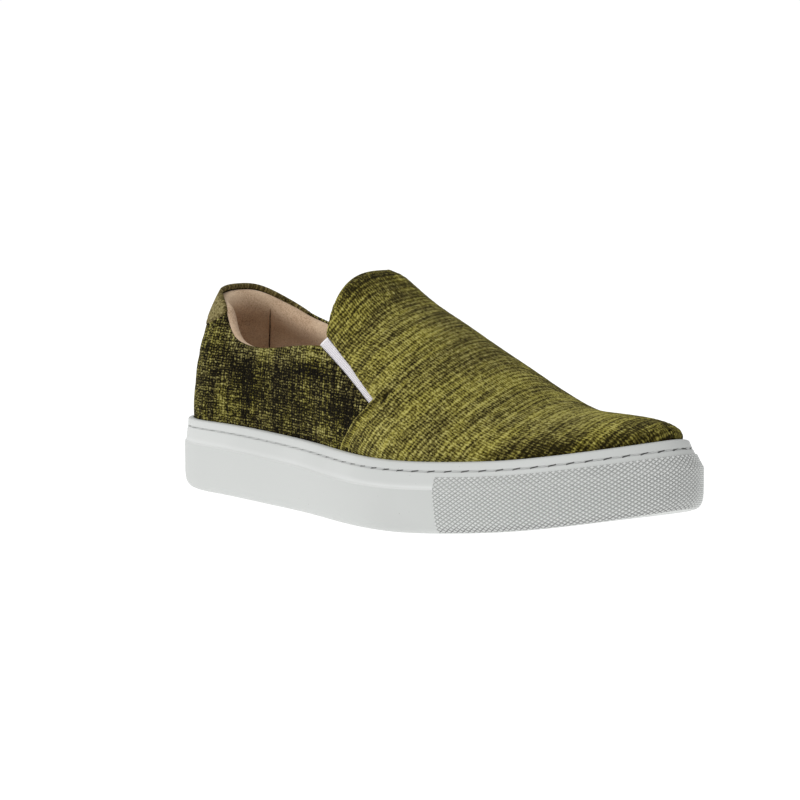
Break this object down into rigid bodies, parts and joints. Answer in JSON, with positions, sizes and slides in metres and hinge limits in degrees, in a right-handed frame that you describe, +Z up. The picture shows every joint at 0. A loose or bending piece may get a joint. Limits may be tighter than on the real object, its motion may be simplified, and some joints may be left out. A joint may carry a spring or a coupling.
{
  "type": "slip-on shoe",
  "caption": "Low slip-on shoe for the right foot: hollow woven fabric upper with elastic side gores, padded collar and heel tab on a stitched white rubber cupsole.",
  "frame": {"origin": "middle of the shoe's outline on the floor it stands on", "axes": "+X from heel to toe, +Y towards the inner (medial) side of the foot, +Z up"},
  "size_m": [0.2757, 0.1045, 0.0984],
  "materials": {
    "rubber": "smooth satin off-white rubber",
    "footbed": "tan suede lining",
    "chenille": "olive slub weave with a velvety pile",
    "heel_cloth": "smooth olive cloth",
    "elastic": "white ribbed elastic"
  },
  "bodies": {
    "root": {"outsole": "rubber", "insole": "footbed", "upper": "chenille", "heel_tab": "heel_cloth", "gore_lateral": "elastic", "gore_medial": "elastic"}
  },
  "joints": []
}
